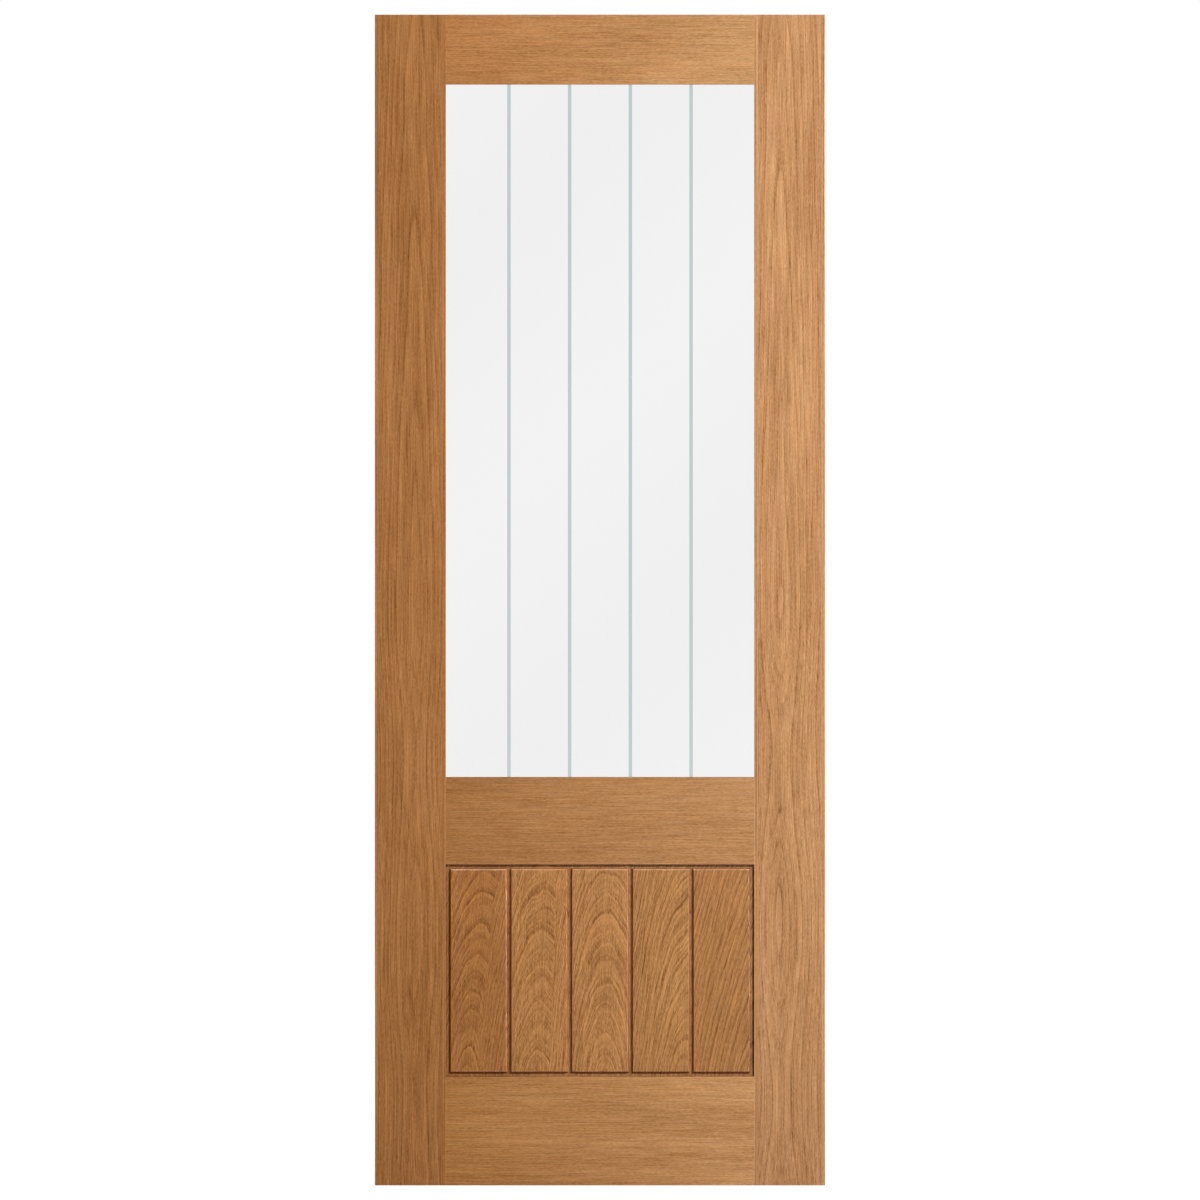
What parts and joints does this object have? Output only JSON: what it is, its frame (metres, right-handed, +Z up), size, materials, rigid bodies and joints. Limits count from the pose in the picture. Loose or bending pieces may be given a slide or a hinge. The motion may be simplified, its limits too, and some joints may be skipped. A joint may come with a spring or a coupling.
{
  "type": "half glazed door leaf",
  "caption": "Oak door leaf with a clear pane over a flush boarded panel, both lined up by fine upright lines, in a flat stile and rail frame with lipped edges.",
  "frame": {"origin": "on the hinge edge of the leaf, at its foot and halfway through its thickness", "axes": "+Z up, +X across the leaf from the hinge edge to the lock edge, +Y from the front face to the beaded back face"},
  "size_m": [0.762, 0.035, 1.981],
  "materials": {
    "oak_stile_veneer": "satin",
    "oak_stile_lipping": "satin",
    "oak_stile_core": "satin",
    "oak_rail_veneer": "satin",
    "oak_rail_lipping": "satin",
    "oak_rail_core": "satin",
    "oak_board": "satin",
    "oak_bead": "satin",
    "clear_glass": "polished"
  },
  "bodies": {
    "root": {"hinge_stile_outer_lipping": "oak_stile_lipping", "hinge_stile_inner_lipping": "oak_stile_lipping", "hinge_stile_core": "oak_stile_core", "hinge_stile_front_veneer": "oak_stile_veneer", "hinge_stile_back_veneer": "oak_stile_veneer", "lock_stile_outer_lipping": "oak_stile_lipping", "lock_stile_inner_lipping": "oak_stile_lipping", "lock_stile_core": "oak_stile_core", "lock_stile_front_veneer": "oak_stile_veneer", "lock_stile_back_veneer": "oak_stile_veneer", "top_rail_upper_lipping": "oak_rail_lipping", "top_rail_lower_lipping": "oak_rail_lipping", "top_rail_core": "oak_rail_core", "top_rail_front_veneer": "oak_rail_veneer", "top_rail_back_veneer": "oak_rail_veneer", "middle_rail_upper_lipping": "oak_rail_lipping", "middle_rail_lower_lipping": "oak_rail_lipping", "middle_rail_core": "oak_rail_core", "middle_rail_front_veneer": "oak_rail_veneer", "middle_rail_back_veneer": "oak_rail_veneer", "bottom_rail_upper_lipping": "oak_rail_lipping", "bottom_rail_lower_lipping": "oak_rail_lipping", "bottom_rail_core": "oak_rail_core", "bottom_rail_front_veneer": "oak_rail_veneer", "bottom_rail_back_veneer": "oak_rail_veneer", "glass_pane": "clear_glass", "glazing_bead_bottom": "oak_bead", "glazing_bead_lock_side": "oak_bead", "glazing_bead_top": "oak_bead", "glazing_bead_hinge_side": "oak_bead", "panel_board_1": "oak_board", "panel_board_2": "oak_board", "panel_board_3": "oak_board", "panel_board_4": "oak_board", "panel_board_5": "oak_board"}
  },
  "joints": []
}
